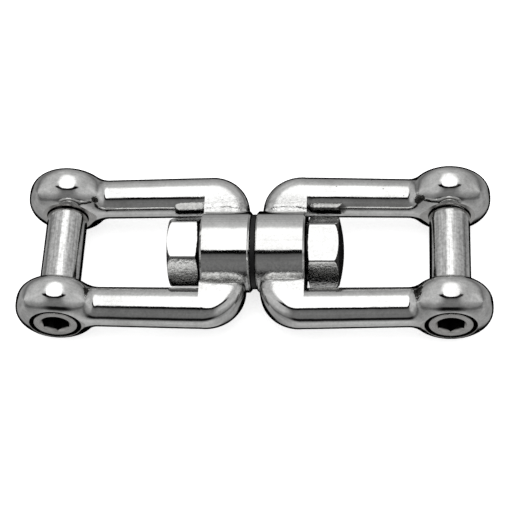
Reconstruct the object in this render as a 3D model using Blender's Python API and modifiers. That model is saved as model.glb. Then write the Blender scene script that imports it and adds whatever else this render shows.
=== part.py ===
"""Jaw and jaw swivel, 8 mm size: two forged jaws that turn on one bolt, each closed by a flush clevis pin.

Frame: origin midway between the two hubs, +X along the swivel axis, +Y along the clevis pins away from their
heads, +Z square to both. The swivel lies flat on its four eyes.
"""

import math

import bmesh
import bpy

MM = 0.001

# Driving dimensions, in millimetres.
BAR_DIAMETER = 8.0  # nominal size of the swivel: the bar that each jaw is forged from
PIN_DIAMETER = BAR_DIAMETER
PIN_REACH = 38.0  # swivel centre to clevis pin axis
EYE_DIAMETER = 16.2
EYE_WIDTH = 8.2  # along the pin, from flat to flat
EYE_FLAT_RADIUS = 5.0
JAW_OPENING = 16.4  # clear width between the eyes
EYE_ROUNDNESS = 2.4  # exponent of the eye's outline: 2 is an ellipse, and more is fuller
HUB_DIAMETER = 16.0
HUB_INNER_FACE = 0.6  # face towards the other hub
HUB_OUTER_FACE = 10.1  # face under the bolt head or the nut
HUB_CHAMFER = 0.35
BEND_START = 5.3  # where the bars leave the hub, along X
BEND_RADIUS = 4.2
BAR_SPREAD = 12.7  # bar centreline to swivel axis, just after the bend
ROOT_HALF_HEIGHT = 3.85  # the flat-topped web that fills the corner between hub and bar
HEX_ACROSS_FLATS = 12.8
HEX_LENGTH = 6.4
HEX_CHAMFER = 0.9
COLLAR_DIAMETER = 11.6  # bearing collar under the bolt's hexagon and the nut's
COLLAR_LENGTH = 0.4
NUT_DOME = 0.8
BOLT_DIAMETER = 8.0
WASHER_DIAMETER = 14.7
WASHER_THICKNESS = 0.9
PIN_HEAD_DIAMETER = 8.6
PIN_HEAD_LENGTH = 2.6
SOCKET_ACROSS_FLATS = 5.0
SOCKET_DEPTH = 3.4
SUNK = 0.1  # the pin's head and tip lie this far inside the eyes' flats
RUNNING_GAP = 0.2  # radial gap of every turning or sliding fit
FACE_GAP = 0.15  # axial gap between faces that bear on each other
COUNTERBORE_GAP = 0.65  # radial gap round the pin's head
THREAD_DEPTH = 0.25  # how far the plain stand-in for a thread lies under the shank

ROUND_STEPS = 32
BAR_RINGS_IN_BEND = 7
BAR_SIDES = 20

# Worked out from the above.
BAR_RADIUS = BAR_DIAMETER / 2
PIN_RADIUS = PIN_DIAMETER / 2
EYE_RADIUS = EYE_DIAMETER / 2
EYE_INNER = JAW_OPENING / 2
EYE_CENTRE = EYE_INNER + EYE_WIDTH / 2
EYE_OUTER = EYE_INNER + EYE_WIDTH
HUB_RADIUS = HUB_DIAMETER / 2
BOLT_RADIUS = BOLT_DIAMETER / 2
HEX_CORNER = HEX_ACROSS_FLATS / math.sqrt(3)
HEX_START = HUB_OUTER_FACE + FACE_GAP
HEX_END = HEX_START + HEX_LENGTH
PIN_HEAD_RADIUS = PIN_HEAD_DIAMETER / 2
PIN_HEAD_FACE = EYE_OUTER - SUNK
PIN_HEAD_SEAT = PIN_HEAD_FACE - PIN_HEAD_LENGTH

AXIS_TURN = {
    "X": (0, math.pi / 2, 0),
    "Y": (-math.pi / 2, 0, 0),
}


def clear_scene():
    for obj in list(bpy.data.objects):
        bpy.data.objects.remove(obj, do_unlink=True)


def new_collection(name, helper=False):
    collection = bpy.data.collections.new(name)
    bpy.context.scene.collection.children.link(collection)
    collection.hide_render = helper
    return collection


def new_material(name, colour, metallic, roughness):
    material = bpy.data.materials.new(name)
    material.use_nodes = True
    shader = material.node_tree.nodes["Principled BSDF"]
    shader.inputs["Base Color"].default_value = (*colour, 1)
    shader.inputs["Metallic"].default_value = metallic
    shader.inputs["Roughness"].default_value = roughness
    return material


def add_object(name, mesh, collection):
    obj = bpy.data.objects.new(name, mesh)
    collection.objects.link(obj)
    if collection.hide_render:
        obj.hide_render = True
        obj.display_type = "WIRE"
    return obj


def turned(name, profile, collection, axis="X", place=(0, 0, 0), closed=False):
    """A turned piece. profile is (radius, distance along the axis) in mm, from the far end to the near one."""
    mesh = bpy.data.meshes.new(name)
    points = [(radius * MM, 0, along * MM) for radius, along in profile]
    edges = [(i, i + 1) for i in range(len(points) - 1)]
    if closed:
        edges.append((len(points) - 1, 0))
    mesh.from_pydata(points, edges, [])
    obj = add_object(name, mesh, collection)
    screw = obj.modifiers.new("Turn", "SCREW")
    screw.steps = ROUND_STEPS
    screw.render_steps = ROUND_STEPS
    screw.use_merge_vertices = True
    screw.merge_threshold = 0.00001
    obj.rotation_euler = AXIS_TURN[axis]
    obj.location = [value * MM for value in place]
    return obj


def hexagon(name, corner_radius, start, end, collection, axis="X", turn=0.0, place=(0, 0, 0)):
    """A hexagonal prism between two distances along an axis, its corners turned by an angle about it."""
    mesh = bpy.data.meshes.new(name)
    shape = bmesh.new()
    bmesh.ops.create_cone(
        shape,
        cap_ends=True,
        segments=6,
        radius1=corner_radius * MM,
        radius2=corner_radius * MM,
        depth=(end - start) * MM,
    )
    bmesh.ops.translate(shape, verts=shape.verts, vec=(0, 0, (start + end) / 2 * MM))
    for vertex in shape.verts:
        x, y = vertex.co.x, vertex.co.y
        vertex.co.x = x * math.cos(turn) - y * math.sin(turn)
        vertex.co.y = x * math.sin(turn) + y * math.cos(turn)
    shape.to_mesh(mesh)
    shape.free()
    obj = add_object(name, mesh, collection)
    obj.rotation_euler = AXIS_TURN[axis]
    obj.location = [value * MM for value in place]
    return obj


def combine(obj, other, operation):
    boolean = obj.modifiers.new(f"{operation.title()} {other.name}", "BOOLEAN")
    boolean.operation = operation
    boolean.object = other


def baked_mesh(obj, name):
    """The object's finished mesh in the part's own frame, shaded smooth with its machined edges sharp."""
    bpy.context.view_layer.update()
    graph = bpy.context.evaluated_depsgraph_get()
    mesh = bpy.data.meshes.new_from_object(obj.evaluated_get(graph), depsgraph=graph)
    mesh.transform(obj.matrix_world)
    mesh.name = name
    mesh.shade_smooth()
    mesh.set_sharp_from_angle(angle=math.radians(30))
    return mesh


def bar_centreline(side):
    """Points from inside the hub, out along Y, round the bend and along to the eye."""
    points = [(BEND_START, 0)]
    centre_x = BEND_START + BEND_RADIUS
    centre_y = BAR_SPREAD - BEND_RADIUS
    for step in range(BAR_RINGS_IN_BEND + 1):
        angle = math.pi / 2 * step / BAR_RINGS_IN_BEND
        x = centre_x - BEND_RADIUS * math.cos(angle)
        y = centre_y + BEND_RADIUS * math.sin(angle)
        points.append((x, y))
    points.append((PIN_REACH - BAR_RADIUS, EYE_CENTRE))
    return [(x, side * y, 0) for x, y in points]


def bar(name, side, collection):
    """One bar of a jaw: a round tube along its centreline, made a mesh with its caps welded."""
    curve = bpy.data.curves.new(name, "CURVE")
    curve.dimensions = "3D"
    curve.bevel_depth = BAR_RADIUS * MM
    curve.bevel_resolution = (BAR_SIDES - 4) // 2
    curve.use_fill_caps = True
    points = bar_centreline(side)
    spline = curve.splines.new("POLY")
    spline.points.add(len(points) - 1)
    for point, place in zip(spline.points, points):
        point.co = (*[value * MM for value in place], 1)
    spline.points[-1].radius = 0.96
    guide = bpy.data.objects.new(name + "_line", curve)
    collection.objects.link(guide)
    bpy.context.view_layer.update()
    graph = bpy.context.evaluated_depsgraph_get()
    mesh = bpy.data.meshes.new_from_object(guide.evaluated_get(graph), depsgraph=graph)
    bpy.data.objects.remove(guide)
    shape = bmesh.new()
    shape.from_mesh(mesh)
    bmesh.ops.remove_doubles(shape, verts=shape.verts, dist=0.000001)
    bmesh.ops.recalc_face_normals(shape, faces=shape.faces)
    shape.to_mesh(mesh)
    shape.free()
    return add_object(name, mesh, collection)


def root(name, side, collection):
    """The web between hub and bar: it fills the inside of the bend and is faced off flush with the hub's end."""
    outline = [(HUB_OUTER_FACE, 0), *[(x, abs(y)) for x, y, _ in bar_centreline(side)[:-1]]]
    outline.append((HUB_OUTER_FACE, BAR_SPREAD))
    shape = bmesh.new()
    for z in (-ROOT_HALF_HEIGHT, ROOT_HALF_HEIGHT):
        shape.faces.new([shape.verts.new((x * MM, side * y * MM, z * MM)) for x, y in outline])
    bmesh.ops.bridge_loops(shape, edges=shape.edges[:])
    bmesh.ops.recalc_face_normals(shape, faces=shape.faces)
    mesh = bpy.data.meshes.new(name)
    shape.to_mesh(mesh)
    shape.free()
    return add_object(name, mesh, collection)


def eye_profile():
    """Half section of an eye: flat where the pin passes, and round between the flats."""
    roundness = EYE_ROUNDNESS
    half_width = EYE_WIDTH / 2
    flat_share = (1 - (EYE_FLAT_RADIUS / EYE_RADIUS) ** roundness) ** (1 / roundness)
    full_width = half_width / flat_share
    steps = 10
    start = math.asin(flat_share ** (roundness / 2))
    profile = [(0, half_width)]
    for step in range(steps + 1):
        angle = start * (1 - 2 * step / steps)
        radius = EYE_RADIUS * math.cos(angle) ** (2 / roundness)
        along = full_width * abs(math.sin(angle)) ** (2 / roundness)
        profile.append((radius, math.copysign(along, angle)))
    profile.append((0, -half_width))
    return profile


def eye(name, side, collection):
    place = (PIN_REACH, side * EYE_CENTRE, 0)
    return turned(name, eye_profile(), collection, axis="Y", place=place)


def hub(name, collection):
    chamfered = HUB_RADIUS - HUB_CHAMFER
    profile = [
        (0, HUB_OUTER_FACE),
        (chamfered, HUB_OUTER_FACE),
        (HUB_RADIUS, HUB_OUTER_FACE - HUB_CHAMFER),
        (HUB_RADIUS, HUB_INNER_FACE + HUB_CHAMFER),
        (chamfered, HUB_INNER_FACE),
        (0, HUB_INNER_FACE),
    ]
    return turned(name, profile, collection)


def bolt_bore(name, collection):
    past = 2.0
    radius = BOLT_RADIUS + RUNNING_GAP
    profile = [
        (0, HUB_OUTER_FACE + past),
        (radius, HUB_OUTER_FACE + past),
        (radius, HUB_INNER_FACE - past),
        (0, HUB_INNER_FACE - past),
    ]
    return turned(name, profile, collection)


def pin_bore(name, collection):
    """Cutter for both eyes: tapped hole, clear hole and the counterbore that the pin's head sinks into."""
    past = 2.0
    edge_break = 0.25
    tapped = PIN_RADIUS - THREAD_DEPTH + RUNNING_GAP
    clear = PIN_RADIUS + RUNNING_GAP
    sunk = PIN_HEAD_RADIUS + COUNTERBORE_GAP
    seat = PIN_HEAD_SEAT - FACE_GAP
    profile = [
        (0, EYE_OUTER + past),
        (tapped + edge_break, EYE_OUTER + past),
        (tapped + edge_break, EYE_OUTER),
        (tapped, EYE_OUTER - edge_break),
        (tapped, EYE_INNER + edge_break),
        (clear + edge_break, EYE_INNER - edge_break),
        (clear + edge_break, -EYE_INNER + edge_break),
        (clear, -EYE_INNER - edge_break),
        (clear, -seat),
        (sunk, -seat),
        (sunk, -EYE_OUTER - past),
        (0, -EYE_OUTER - past),
    ]
    return turned(name, profile, collection, axis="Y", place=(PIN_REACH, 0, 0))


def jaw_mesh(helpers):
    """The right-hand jaw: hub, webs, bars and eyes in one forging, bored for the bolt and the clevis pin."""
    jaw = hub("jaw_blank", helpers)
    for side, end in ((-1, "head"), (1, "thread")):
        combine(jaw, root(f"root_{end}", side, helpers), "UNION")
        combine(jaw, bar(f"bar_{end}", side, helpers), "UNION")
        combine(jaw, eye(f"eye_{end}", side, helpers), "UNION")
    combine(jaw, bolt_bore("bolt_bore", helpers), "DIFFERENCE")
    combine(jaw, pin_bore("pin_bore", helpers), "DIFFERENCE")
    return baked_mesh(jaw, "jaw")


def hex_chamfer(name, collection, start, end, dome=0.0):
    """Turned envelope that a hexagon is trimmed to: bearing collar, round corners and, on a nut, a low dome."""
    wide = HEX_CORNER - 0.05
    flat = HEX_ACROSS_FLATS / 2 - 0.2
    collar = COLLAR_DIAMETER / 2
    collar_end = start + COLLAR_LENGTH
    profile = [(0, end + dome)]
    dome_steps = 5 if dome else 0
    for step in range(1, dome_steps):
        share = step / dome_steps
        profile.append((flat * share, end + dome * (1 - share**2)))
    profile += [
        (flat, end),
        (wide, end - HEX_CHAMFER),
        (wide, collar_end + 0.3),
        (flat, collar_end),
        (collar, collar_end),
        (collar, start),
        (0, start),
    ]
    return turned(name, profile, collection)


def bolt_mesh(helpers):
    """Bolt with its hexagon head at -X; its thread is a plain stretch inside the nut."""
    head_turn = math.radians(-8)
    thread_radius = BOLT_RADIUS - THREAD_DEPTH
    thread_end = HEX_END - 1.6
    head = hexagon("bolt_head", HEX_CORNER, HEX_START, HEX_END, helpers, turn=head_turn)
    combine(head, hex_chamfer("bolt_head_trim", helpers, HEX_START, HEX_END), "INTERSECT")
    shank_profile = [
        (0, HEX_START + 2),
        (BOLT_RADIUS, HEX_START + 2),
        (BOLT_RADIUS, -HUB_OUTER_FACE),
        (thread_radius, -HUB_OUTER_FACE - THREAD_DEPTH),
        (thread_radius, -thread_end + 0.5),
        (thread_radius - 0.5, -thread_end),
        (0, -thread_end),
    ]
    combine(head, turned("bolt_shank", shank_profile, helpers), "UNION")
    return baked_mesh(head, "swivel_bolt")


def nut_mesh(helpers):
    """Domed nut at +X, locked on the end of the bolt."""
    nut_turn = math.radians(15)
    hole_radius = BOLT_RADIUS - THREAD_DEPTH + RUNNING_GAP
    hole_end = HEX_END - 1.3
    nut = hexagon(
        "nut_blank", HEX_CORNER, HEX_START, HEX_END + NUT_DOME, helpers, turn=nut_turn
    )
    trim = hex_chamfer("nut_trim", helpers, HEX_START, HEX_END, dome=NUT_DOME)
    hole_profile = [
        (0, hole_end),
        (hole_radius, hole_end),
        (hole_radius, HEX_START + 0.3),
        (hole_radius + 0.3, HEX_START),
        (hole_radius + 0.3, HEX_START - 1),
        (0, HEX_START - 1),
    ]
    combine(nut, trim, "INTERSECT")
    combine(nut, turned("nut_hole", hole_profile, helpers), "DIFFERENCE")
    return baked_mesh(nut, "cap_nut")


def washer_mesh(helpers):
    inner = BOLT_RADIUS + RUNNING_GAP
    outer = WASHER_DIAMETER / 2
    half = WASHER_THICKNESS / 2
    profile = [(inner, half), (outer, half), (outer, -half), (inner, -half)]
    washer = turned("washer_blank", profile, helpers, closed=True)
    return baked_mesh(washer, "thrust_washer")


def pin_mesh(helpers):
    """Clevis pin about its own middle: head with a hexagon socket at -Y, plain shank, threaded tip at +Y."""
    thread_radius = PIN_RADIUS - THREAD_DEPTH
    edge_break = 0.3
    tip = EYE_OUTER - SUNK
    profile = [
        (0, tip),
        (thread_radius - edge_break, tip),
        (thread_radius, tip - edge_break),
        (thread_radius, EYE_INNER + 0.2),
        (PIN_RADIUS, EYE_INNER - 0.4),
        (PIN_RADIUS, -PIN_HEAD_SEAT),
        (PIN_HEAD_RADIUS, -PIN_HEAD_SEAT),
        (PIN_HEAD_RADIUS, -PIN_HEAD_FACE + edge_break),
        (PIN_HEAD_RADIUS - edge_break, -PIN_HEAD_FACE),
        (0, -PIN_HEAD_FACE),
    ]
    pin = turned("pin_blank", profile, helpers, axis="Y")
    socket_corner = SOCKET_ACROSS_FLATS / math.sqrt(3)
    socket_bottom = -PIN_HEAD_FACE + SOCKET_DEPTH
    socket = hexagon(
        "pin_socket",
        socket_corner,
        -PIN_HEAD_FACE - 1,
        socket_bottom,
        helpers,
        axis="Y",
    )
    combine(pin, socket, "DIFFERENCE")
    return baked_mesh(pin, "clevis_pin")


def build():
    clear_scene()
    parts = new_collection("jaw_and_jaw_swivel")
    helpers = new_collection("cutters_and_blanks", helper=True)

    polished = new_material("polished_stainless", (0.62, 0.62, 0.61), 1.0, 0.12)
    drawn = new_material("drawn_stainless", (0.56, 0.56, 0.55), 1.0, 0.25)
    acetal = new_material("black_acetal", (0.02, 0.02, 0.02), 0.0, 0.4)

    jaw = jaw_mesh(helpers)
    pin = pin_mesh(helpers)
    half_turn = (0, math.pi, 0)
    pieces = [
        ("jaw_left", jaw, polished, (0, 0, 0), half_turn),
        ("jaw_right", jaw, polished, (0, 0, 0), (0, 0, 0)),
        ("swivel_bolt", bolt_mesh(helpers), polished, (0, 0, 0), half_turn),
        ("cap_nut", nut_mesh(helpers), polished, (0, 0, 0), (0, 0, 0)),
        ("thrust_washer", washer_mesh(helpers), acetal, (0, 0, 0), (0, 0, 0)),
        ("clevis_pin_left", pin, drawn, (-PIN_REACH, 0, 0), half_turn),
        ("clevis_pin_right", pin, drawn, (PIN_REACH, 0, 0), (0, 0, 0)),
    ]
    for name, mesh, material, place, turn in pieces:
        obj = add_object(name, mesh, parts)
        obj.location = [value * MM for value in place]
        obj.rotation_euler = turn
        if not mesh.materials:
            mesh.materials.append(material)


build()
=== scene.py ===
import math

import bmesh
import bpy
import numpy as np
from mathutils import Matrix, Vector
from mathutils.bvhtree import BVHTree
from mathutils.geometry import barycentric_transform


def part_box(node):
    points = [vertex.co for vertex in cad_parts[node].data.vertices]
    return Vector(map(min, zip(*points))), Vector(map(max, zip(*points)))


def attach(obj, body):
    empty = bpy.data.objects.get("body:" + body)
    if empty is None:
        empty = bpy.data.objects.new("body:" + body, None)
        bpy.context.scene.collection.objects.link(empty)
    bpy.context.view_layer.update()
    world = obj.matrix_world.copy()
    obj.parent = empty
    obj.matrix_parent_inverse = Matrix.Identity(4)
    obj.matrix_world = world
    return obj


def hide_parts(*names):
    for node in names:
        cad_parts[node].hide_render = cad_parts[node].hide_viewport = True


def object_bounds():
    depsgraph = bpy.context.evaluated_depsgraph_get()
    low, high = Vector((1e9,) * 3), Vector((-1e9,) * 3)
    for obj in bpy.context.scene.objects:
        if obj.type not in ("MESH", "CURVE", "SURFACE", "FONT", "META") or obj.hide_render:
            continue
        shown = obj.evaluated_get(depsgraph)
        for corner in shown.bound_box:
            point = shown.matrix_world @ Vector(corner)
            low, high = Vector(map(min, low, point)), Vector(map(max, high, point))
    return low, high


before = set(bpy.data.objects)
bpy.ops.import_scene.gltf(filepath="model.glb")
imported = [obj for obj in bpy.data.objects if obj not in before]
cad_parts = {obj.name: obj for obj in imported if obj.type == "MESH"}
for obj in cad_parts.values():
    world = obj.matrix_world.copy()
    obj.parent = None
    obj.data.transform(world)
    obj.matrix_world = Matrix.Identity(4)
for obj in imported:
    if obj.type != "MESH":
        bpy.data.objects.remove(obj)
cadBounds = [list(corner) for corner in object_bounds()]
mm = 0.001

# Shapes are worked out in millimetres, in the frame of the right-hand jaw; left-hand pieces are the same mesh
# turned half a turn about Y.
leftHand = Matrix.Rotation(math.pi, 4, "Y")
rightHand = Matrix.Identity(4)


def boxOf(node):
    low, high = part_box(node)
    return np.array(low) / mm, np.array(high) / mm


jawLow, jawHigh = boxOf("jaw_right")
pinLow, pinHigh = boxOf("clevis_pin_right")
pinReach = (pinLow[0] + pinHigh[0]) / 2
eyeRadius = jawHigh[2]


# Meshes from rows of points.


def aroundAxis(radius, along, turn, axis, reach):
    if axis == "X":
        return np.stack([along, radius * np.cos(turn), radius * np.sin(turn)], 1)
    return np.stack([reach + radius * np.sin(turn), along, radius * np.cos(turn)], 1)


def evenTurn(sides):
    return np.linspace(0, 2 * math.pi, sides + 1)


def turnedRows(profile, turn, axis="X", reach=0.0):
    # profile is (radius, distance along the axis) or, where a hexagon shapes the row, that and a function of
    # the radius. Each row goes all the way round and ends where it began.
    rows = []
    for radius, along, *shaped in profile:
        radii = np.full(len(turn), float(radius))
        if shaped:
            radii = shaped[0](radii)
        rows.append(aroundAxis(radii, np.full(len(turn), float(along)), turn, axis, reach))
    return rows


def threadRows(start, end, turn, thread, axis="X", reach=0.0):
    # A screw thread whose rows follow its helix, so that its crest is one clean edge. Both ends fade away.
    pitch, root, crest = thread["pitch"], thread["root"], thread["crest"]
    steps = thread["stepsPerPitch"]
    length = abs(end - start)
    way = math.copysign(1, end - start)
    rows = []
    for step in range(int(length / pitch * steps) + 2 * steps + 1):
        along = np.clip((step / steps - 1 + turn / (2 * math.pi)) * pitch, 0, length)
        fade = np.clip(np.minimum(along, length - along) / (0.6 * pitch), 0, 1)
        rise = min(max((0.375 - abs(step % steps / steps - 0.5)) / 0.3125, 0), 1)
        radius = root + (crest - root) * rise * fade
        rows.append(aroundAxis(radius, start + way * along, turn, axis, reach))
    return rows


def hexTurn(corner):
    # Angles that crowd together at a hexagon's corners
    near = [0, 0.35, 0.7, 1.1, 1.6, 2.3, 3.5, 6, 10, 15, 20, 25]
    oneSide = [*near, 30, *[60 - degrees for degrees in near[:0:-1]]]
    degrees = [corner + 60 * side + way for side in range(6) for way in oneSide]
    return np.radians(np.array([*degrees, corner + 360]))


def hexRadius(acrossFlats, turn, corner, sharpness):
    # Radius of a hexagon whose corners are slightly rounded
    total = np.zeros(len(turn))
    for side in range(6):
        lean = np.cos(turn - math.radians(corner + 30 + 60 * side))
        total += np.maximum(lean, 0) ** sharpness
    return acrossFlats / 2 * total ** (-1 / sharpness)


def softSmaller(first, second, blend):
    share = np.clip(0.5 + 0.5 * (second - first) / blend, 0, 1)
    return second * (1 - share) + first * share - blend * share * (1 - share)


def rounded(profile, steps=4):
    # Replaces each corner that has a third number by an arc of that size
    points = []
    for i, (radius, along, *size) in enumerate(profile):
        here = np.array([radius, along], float)
        if not size:
            points.append((radius, along))
            continue
        before = np.array(profile[i - 1][:2], float) - here
        after = np.array(profile[i + 1][:2], float) - here
        first = here + before / np.linalg.norm(before) * size[0]
        last = here + after / np.linalg.norm(after) * size[0]
        for step in range(steps + 1):
            share = step / steps
            point = first * (1 - share) ** 2 + here * 2 * share * (1 - share) + last * share**2
            points.append((float(point[0]), float(point[1])))
    return points


def meshFromRows(name, rows, surfaces=None):
    # surfaces gives each row's surface number, which the faces up to the next row take
    points = np.concatenate(rows) * mm
    across = len(rows[0])
    faces, numbers = [], []
    for row in range(len(rows) - 1):
        for side in range(across - 1):
            a, b = row * across + side, (row + 1) * across + side
            faces.append((a, a + 1, b + 1, b))
            numbers.append(surfaces[row] if surfaces else 0)
    mesh = bpy.data.meshes.new(name)
    mesh.from_pydata(points.tolist(), [], faces)
    mesh.polygons.foreach_set("material_index", numbers)
    return weld(mesh)


def weld(mesh, distance=0.0002 * mm):
    shape = bmesh.new()
    shape.from_mesh(mesh)
    bmesh.ops.remove_doubles(shape, verts=shape.verts, dist=distance)
    bmesh.ops.recalc_face_normals(shape, faces=shape.faces)
    shape.to_mesh(mesh)
    shape.free()
    return mesh


def meshOf(name, shape):
    mesh = bpy.data.meshes.new(name)
    shape.to_mesh(mesh)
    shape.free()
    return mesh


def newObject(name, mesh):
    piece = bpy.data.objects.new(name, mesh)
    bpy.context.scene.collection.objects.link(piece)
    return piece


def finished(piece):
    # The mesh with its modifiers applied. The working object goes.
    bpy.context.view_layer.update()
    graph = bpy.context.evaluated_depsgraph_get()
    mesh = bpy.data.meshes.new_from_object(piece.evaluated_get(graph), depsgraph=graph)
    bpy.data.objects.remove(piece)
    return mesh


def combined(name, base, others):
    # others are (mesh, operation). Each mesh's faces keep the number of the surface that they came from.
    surfaces = [bpy.data.materials.new(f"surface{i}") for i in range(len(others) + 1)]
    for number, mesh in enumerate([base, *[other for other, _ in others]]):
        mesh.materials.clear()
        for surface in surfaces:
            mesh.materials.append(surface)
        mesh.polygons.foreach_set("material_index", [number] * len(mesh.polygons))
    for mesh, operation in others:
        body = newObject(name, base)
        helper = newObject(f"{name}Helper", mesh)
        cut = body.modifiers.new(operation.title(), "BOOLEAN")
        cut.operation = operation
        cut.solver = "EXACT"
        cut.use_hole_tolerant = True
        cut.object = helper
        base = weld(finished(body))
        bpy.data.objects.remove(helper)
    return base


def readNumbers(items, name, kind=np.int32, width=1):
    numbers = np.empty(len(items) * width, kind)
    items.foreach_get(name, numbers)
    return numbers


def readMesh(mesh):
    points = readNumbers(mesh.vertices, "co", np.float32, 3)
    edges = readNumbers(mesh.edges, "vertices", width=2)
    return points.reshape(-1, 3).astype(float) / mm, edges.reshape(-1, 2)


def writePoints(mesh, points):
    mesh.vertices.foreach_set("co", (points * mm).astype(np.float32).reshape(-1))
    mesh.update()


# Exact surfaces. A polished surface shows every facet, so each point is brought onto its formula and each
# normal comes from it.


def slopeOf(field, points):
    step = 0.002
    slope = np.empty_like(points)
    for axis in range(3):
        shift = np.zeros(3)
        shift[axis] = step
        slope[:, axis] = (field(points + shift) - field(points - shift)) / (2 * step)
    return slope


def unit(vectors):
    return vectors / np.maximum(np.linalg.norm(vectors, axis=1, keepdims=True), 1e-12)


def broughtOnto(field, points, rounds=4):
    for _ in range(rounds):
        slope = slopeOf(field, points)
        size = np.maximum((slope**2).sum(1), 1e-9)
        points = points - (field(points) / size)[:, None] * slope
    return points


def evenedOut(field, points, edges, rounds=4):
    # Slides points along the surface towards the middle of their neighbours
    count = np.maximum(np.bincount(edges.reshape(-1), minlength=len(points)), 1)[:, None]
    for _ in range(rounds):
        total = np.zeros_like(points)
        np.add.at(total, edges[:, 0], points[edges[:, 1]])
        np.add.at(total, edges[:, 1], points[edges[:, 0]])
        move = total / count - points
        normal = unit(slopeOf(field, points))
        move -= (move * normal).sum(1, keepdims=True) * normal
        points = broughtOnto(field, points + 0.6 * move, rounds=1)
    return broughtOnto(field, points, rounds=2)


def turnedNormals(points, faceNormals, axis, reach=0.0):
    # Round a turned surface, the radial part of a facet's normal is the one that is wrong
    along = 0 if axis == "X" else 1
    centre = np.array([0.0, 0.0, 0.0]) if axis == "X" else np.array([reach, 0.0, 0.0])
    radial = points - centre
    radial[:, along] = 0
    radial = unit(radial)
    normals = np.zeros_like(points)
    lean = np.clip(faceNormals[:, along], -1, 1)
    lean = np.where(abs(lean) > 0.999, np.sign(lean), np.where(abs(lean) < 0.02, 0, lean))
    side = np.sign((faceNormals * radial).sum(1))
    normals[:, along] = lean
    return normals + radial * (side * np.sqrt(1 - lean**2))[:, None]


def setNormals(mesh, rules):
    # rules gives, for each surface number, a function of (points, face normals)
    mesh.shade_smooth()
    corners = readNumbers(mesh.polygons, "loop_total")
    faceNormals = readNumbers(mesh.polygons, "normal", np.float32, 3)
    points, _ = readMesh(mesh)
    cornerPoints = points[readNumbers(mesh.loops, "vertex_index")]
    cornerFace = np.repeat(faceNormals.reshape(-1, 3).astype(float), corners, axis=0)
    cornerSurface = np.repeat(readNumbers(mesh.polygons, "material_index"), corners)
    normals = cornerFace.copy()
    for number, rule in rules.items():
        here = cornerSurface == number
        normals[here] = rule(cornerPoints[here], cornerFace[here])
    mesh.normals_split_custom_set(normals.tolist())


def setMaterials(mesh, materials, slotOf):
    # slotOf gives the material's place in the list for each surface number
    surface = readNumbers(mesh.polygons, "material_index")
    mesh.materials.clear()
    for material in materials:
        mesh.materials.append(material)
    mesh.polygons.foreach_set("material_index", np.array(slotOf, np.int32)[surface])


# Finishes. Each is worked out in real sizes and in the piece's own coordinates.


def linear(hexColour):
    parts = [int(hexColour[i : i + 2], 16) / 255 for i in (1, 3, 5)]
    return (*[p / 12.92 if p <= 0.04045 else ((p + 0.055) / 1.055) ** 2.4 for p in parts], 1)


def addNode(tree, kind, settings=None, links=None):
    # Sockets go by name or number. A link from a whole node is from its first output.
    node = tree.nodes.new(f"ShaderNode{kind}")
    for name, value in (settings or {}).items():
        if isinstance(name, int) or name in node.inputs:
            node.inputs[name].default_value = value
        else:
            setattr(node, name, value)
    for name, source in (links or {}).items():
        tree.links.new(getattr(source, "outputs", [source])[0], node.inputs[name])
    return node


def ramped(start, end, low=0.0, high=1.0, eased=True):
    # Settings for a value that goes from low to high while another goes from start to end
    kind = "SMOOTHSTEP" if eased else "LINEAR"
    return {"From Min": start, "From Max": end, "To Min": low, "To Max": high, "interpolation_type": kind}


def blended(first, second):
    # Settings for a mix of two colours
    return {"data_type": "RGBA", 6: linear(first), 7: linear(second)}


noiseSpan = (0.3, 0.7)  # most of a noise texture lies between these
times = {"operation": "MULTIPLY"}
sizeOnly = {"operation": "ABSOLUTE"}
lengthOf = {"operation": "LENGTH"}


def perMetre(size):
    # Texture scale that gives features of this many millimetres
    return 1 / (size * mm)


def newSurface(name, metallic=1.0):
    material = bpy.data.materials.new(name)
    material.use_nodes = True
    tree = material.node_tree
    shader = tree.nodes["Principled BSDF"]
    shader.inputs["Metallic"].default_value = metallic
    return material, shader, addNode(tree, "TexCoord").outputs["Object"]


def finishSurface(material, shader, colour, gloss, relief):
    # gloss is a texture and the roughness where it is low and high. relief is textures with heights in mm,
    # and a height below nothing is a depth.
    tree = material.node_tree
    tree.links.new(colour, shader.inputs["Base Color"])
    texture, smooth, rough = gloss
    roughness = addNode(tree, "MapRange", ramped(*noiseSpan, smooth, rough, eased=False), {"Value": texture})
    tree.links.new(roughness.outputs[0], shader.inputs["Roughness"])
    links = {}
    for height, size in relief:
        depth = {"Strength": 1.0, "Distance": abs(size) * mm, "invert": size < 0}
        links["Normal"] = addNode(tree, "Bump", depth, {"Height": height, **links})
    tree.links.new(links["Normal"].outputs[0], shader.inputs["Normal"])
    return material


steelLook = {
    "colour": "#DDDDDC",  # stainless steel is a nearly neutral grey
    "tarnish": "#ADACAA",
    "pitColour": "#4A4846",
    # Painted shade: this dark colour stands for the shadow in the gap between a hub's end and its hexagon
    "paintedGapShade": "#1B1A1A",
    "roughness": (0.04, 0.11),
    "buffWave": 4.0,  # mm between the slow waves that a buffing wheel leaves
    "buffHeight": 0.045,
    "grain": 0.35,
    "grainHeight": 0.004,
    "coarseGrain": 0.55,  # the forged skin that stays between hub and bars, where the wheel can't reach
    "coarseHeight": 0.075,
    "coarseMiddle": 6.0,  # along the swivel axis
    "coarseReach": (9.0, 13.0),
    "coarseLevel": (3.4, 6.2),  # it fades out between these heights above and below the axis
    "pitSpacing": 2.2,
    "pitRadius": 0.13,
    "pitDepth": 0.04,
    "pitShare": 0.34,
    "clouds": 6.0,
    "cloudTarnish": (0.45, 0.75, 0, 0.45),
    "speckle": (0.35, 0.70, 1.0, 0.50),
    "speckleShare": (0.34, 0.85),  # on the buffed steel and on the coarser skin
    "paintedGapShadeAt": (10.36, 0.33),  # between a hub's end and its hexagon
    "paintedGapShadeReach": (7.3, 7.7),
}


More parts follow.
